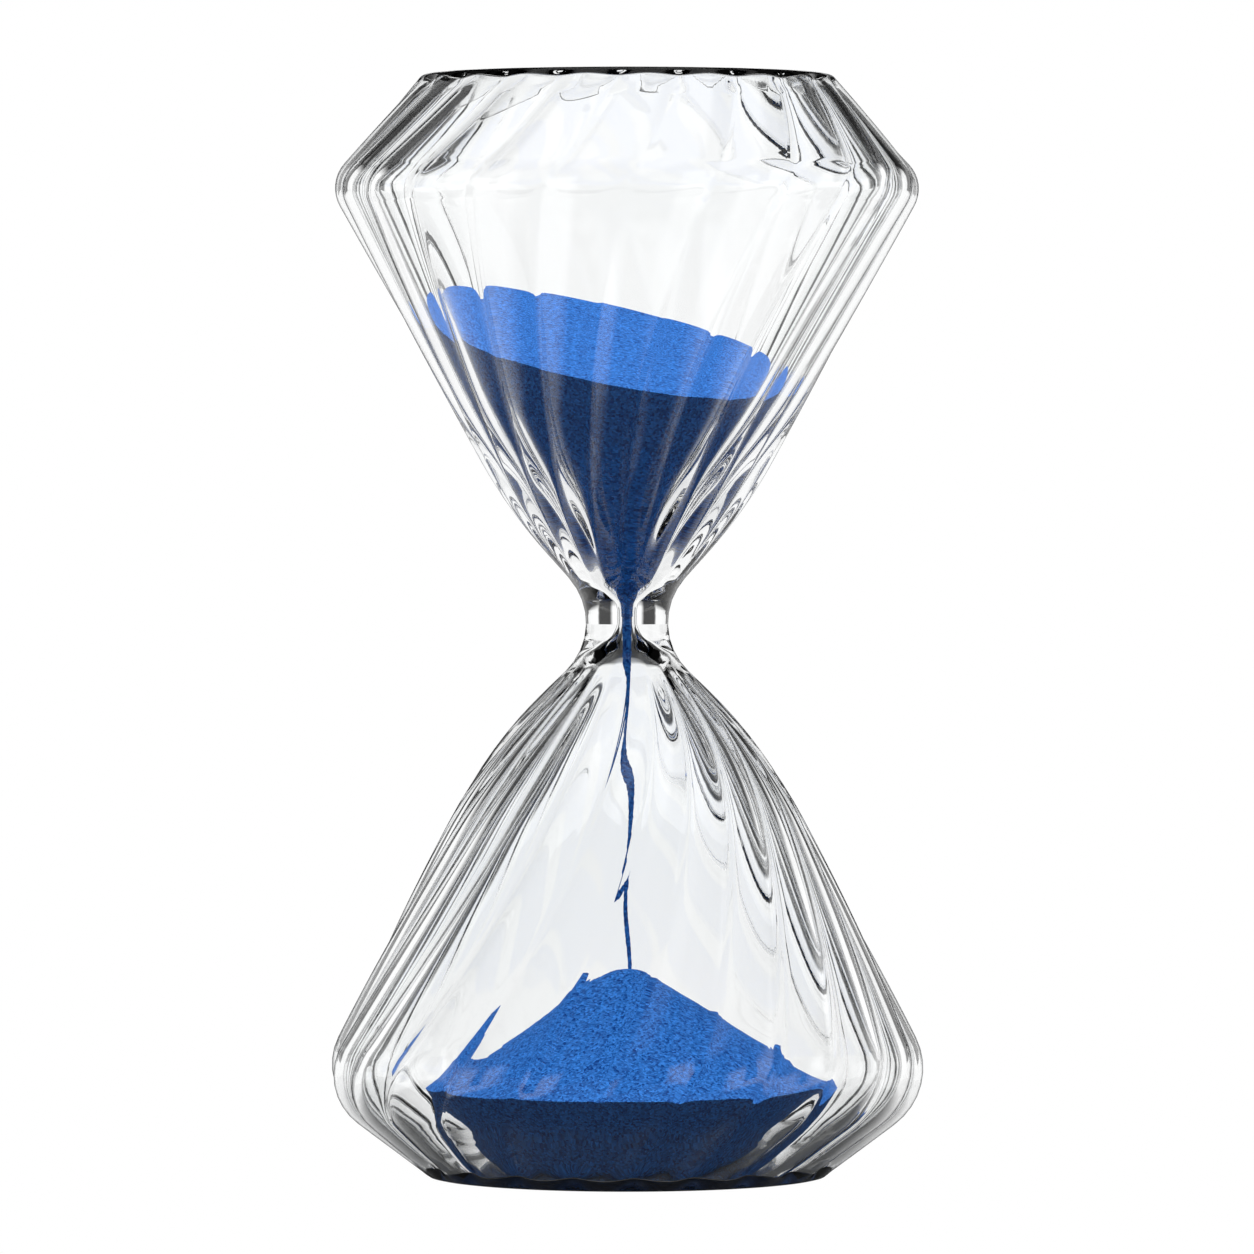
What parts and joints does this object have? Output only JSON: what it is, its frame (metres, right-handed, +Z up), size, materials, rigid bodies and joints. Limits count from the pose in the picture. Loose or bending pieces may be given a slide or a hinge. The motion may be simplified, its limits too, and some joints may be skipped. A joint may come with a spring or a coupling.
{
  "type": "hourglass",
  "caption": "Frameless sand timer of two blown glass bulbs with spiral ribs, joined by a solid glass neck, with blue sand part way through its run.",
  "frame": {"origin": "middle of the face that the timer stands on", "axes": "+Z up along the timer's axis; the view is along +Y, with +X to the right"},
  "size_m": [0.0834, 0.0836, 0.155],
  "materials": {
    "clear_glass": "fire-polished, clear",
    "blue_sand": "fine dyed grains, matt"
  },
  "bodies": {
    "root": {"upper_bulb": "clear_glass", "lower_bulb": "clear_glass", "neck_ring": "clear_glass", "fill_seal": "clear_glass", "upper_sand": "blue_sand", "falling_stream": "blue_sand", "sand_heap": "blue_sand"}
  },
  "joints": []
}
